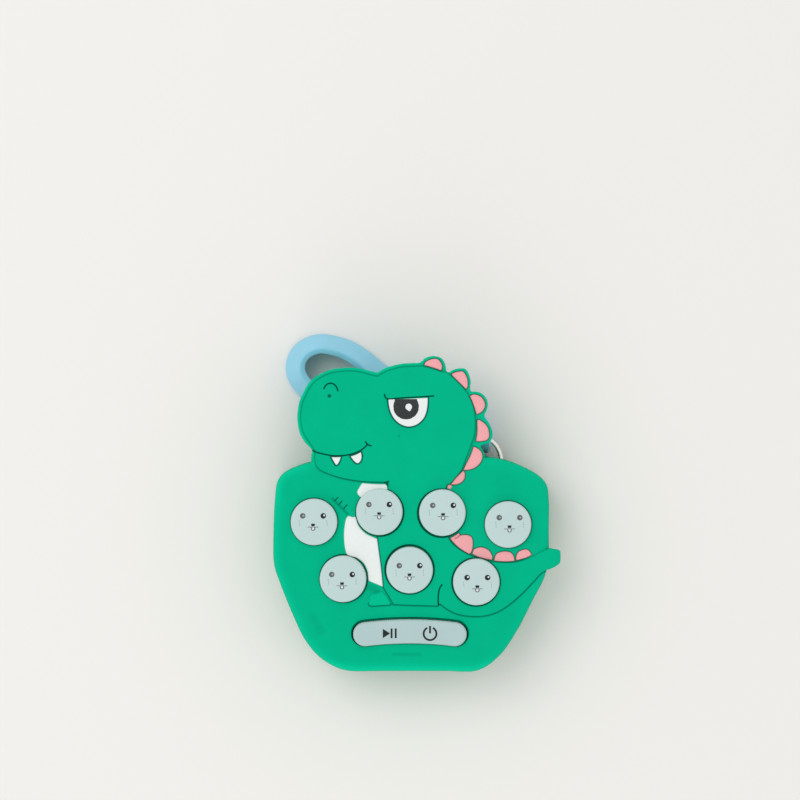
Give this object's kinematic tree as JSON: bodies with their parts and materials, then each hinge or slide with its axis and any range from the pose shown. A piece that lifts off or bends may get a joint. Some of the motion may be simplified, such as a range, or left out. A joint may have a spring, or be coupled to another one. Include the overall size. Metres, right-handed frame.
{
  "type": "keychain memory game",
  "caption": "Shield-shaped electronic memory game with a soft dinosaur cover, round press buttons, a rocking function bar, a battery door, a split ring and a soft wrist strap.",
  "frame": {"origin": "middle of the flat patch at the centre of the back, which lies on the ground", "axes": "+Z out of the front through the buttons, +Y towards the dinosaur's head, +X to the right seen from the front"},
  "size_m": [0.0654, 0.0773, 0.0192],
  "materials": {
    "green_soft": "matte",
    "pink_soft": "matte",
    "white_soft": "matte",
    "black_soft": "satin",
    "green_shell": "satin",
    "clear_cap": "satin, faintly translucent",
    "silicone": "matte",
    "board": "satin",
    "epoxy": "gloss",
    "led": "gloss",
    "speaker": "satin",
    "steel": "bright",
    "nickel": "bright",
    "blue_strap": "matte"
  },
  "bodies": {
    "case": {"soft_cover": "green_soft", "head_spike_1": "pink_soft", "head_spike_2": "pink_soft", "head_spike_3": "pink_soft", "head_spike_4": "pink_soft", "head_spike_5": "pink_soft", "head_spike_6": "pink_soft", "tail_spike_1": "pink_soft", "tail_spike_2": "pink_soft", "tail_spike_3": "pink_soft", "tail_spike_4": "pink_soft", "belly_inlay": "white_soft", "throat_inlay": "white_soft", "eye_white": "white_soft", "tooth_1": "white_soft", "tooth_2": "white_soft", "eye_pupil": "black_soft", "front_shell": "green_shell", "rear_shell": "green_shell", "case_screw_1": "steel", "case_screw_2": "steel", "case_screw_3": "steel", "case_screw_4": "steel", "spring_pad_1": "silicone", "spring_pad_2": "silicone", "spring_pad_3": "silicone", "spring_pad_4": "silicone", "spring_pad_5": "silicone", "spring_pad_6": "silicone", "spring_pad_7": "silicone", "bar_pad_strip": "silicone", "lamp_1": "led", "lamp_2": "led", "lamp_3": "led", "lamp_4": "led", "lamp_5": "led", "lamp_6": "led", "lamp_7": "led", "circuit_board": "board", "chip_blob": "epoxy", "speaker": "speaker", "coin_cell_1": "nickel", "coin_cell_2": "nickel", "coin_cell_3": "nickel", "roof_bridge_contact": "nickel", "roof_end_contact": "nickel"},
    "battery_door": {"battery_door": "green_shell", "door_contact": "nickel"},
    "door_screw": {"door_screw": "steel"},
    "function_bar": {"function_bar": "clear_cap"},
    "ring": {"split_ring": "nickel"},
    "strap": {"strap": "blue_strap", "strap_rivet": "nickel"},
    "mole_button_1": {"mole_button_1": "clear_cap"},
    "mole_button_2": {"mole_button_2": "clear_cap"},
    "mole_button_3": {"mole_button_3": "clear_cap"},
    "mole_button_4": {"mole_button_4": "clear_cap"},
    "mole_button_5": {"mole_button_5": "clear_cap"},
    "mole_button_6": {"mole_button_6": "clear_cap"},
    "mole_button_7": {"mole_button_7": "clear_cap"}
  },
  "joints": [
    {"name": "mole_button_1_press", "type": "slide", "parent": "case", "child": "mole_button_1", "axis": [0, 0, -1], "range_m": [0, 0.0009], "stiffness_N_per_m": 900, "springref_m": -0.0003, "deforming": ["spring_pad_1"]},
    {"name": "mole_button_2_press", "type": "slide", "parent": "case", "child": "mole_button_2", "axis": [0, 0, -1], "range_m": [0, 0.0009], "stiffness_N_per_m": 900, "springref_m": -0.0003, "deforming": ["spring_pad_2"]},
    {"name": "mole_button_3_press", "type": "slide", "parent": "case", "child": "mole_button_3", "axis": [0, 0, -1], "range_m": [0, 0.0009], "stiffness_N_per_m": 900, "springref_m": -0.0003, "deforming": ["spring_pad_3"]},
    {"name": "mole_button_4_press", "type": "slide", "parent": "case", "child": "mole_button_4", "axis": [0, 0, -1], "range_m": [0, 0.0009], "stiffness_N_per_m": 900, "springref_m": -0.0003, "deforming": ["spring_pad_4"]},
    {"name": "mole_button_5_press", "type": "slide", "parent": "case", "child": "mole_button_5", "axis": [0, 0, -1], "range_m": [0, 0.0009], "stiffness_N_per_m": 900, "springref_m": -0.0003, "deforming": ["spring_pad_5"]},
    {"name": "mole_button_6_press", "type": "slide", "parent": "case", "child": "mole_button_6", "axis": [0, 0, -1], "range_m": [0, 0.0009], "stiffness_N_per_m": 900, "springref_m": -0.0003, "deforming": ["spring_pad_6"]},
    {"name": "mole_button_7_press", "type": "slide", "parent": "case", "child": "mole_button_7", "axis": [0, 0, -1], "range_m": [0, 0.0009], "stiffness_N_per_m": 900, "springref_m": -0.0003, "deforming": ["spring_pad_7"]},
    {"name": "function_bar_rock", "type": "hinge", "parent": "case", "child": "function_bar", "pos_m": [-0.00031, -0.01919, 0.01555], "axis": [0, 1, 0], "range_deg": [-3, 3], "stiffness_Nm_per_rad": 0.3},
    {"name": "battery_door_hinge", "type": "hinge", "parent": "case", "child": "battery_door", "pos_m": [0, -0.02121, 0.0007], "axis": [-1, 0, 0], "range_deg": [0, 70]},
    {"name": "door_screw_turn", "type": "hinge", "parent": "battery_door", "child": "door_screw", "pos_m": [0, -0.00661, 0], "axis": [0, 0, 1], "continuous": true},
    {"name": "ring_swing", "type": "hinge", "parent": "case", "child": "ring", "pos_m": [0.01502, 0.01383, 0.00365], "axis": [1, 0, 0], "range_deg": [-80, 4]},
    {"name": "strap_swing", "type": "hinge", "parent": "ring", "child": "strap", "pos_m": [0.01581, 0.02508, 0.00365], "axis": [0.9903, -0.1392, 0], "range_deg": [-80, 6]}
  ]
}
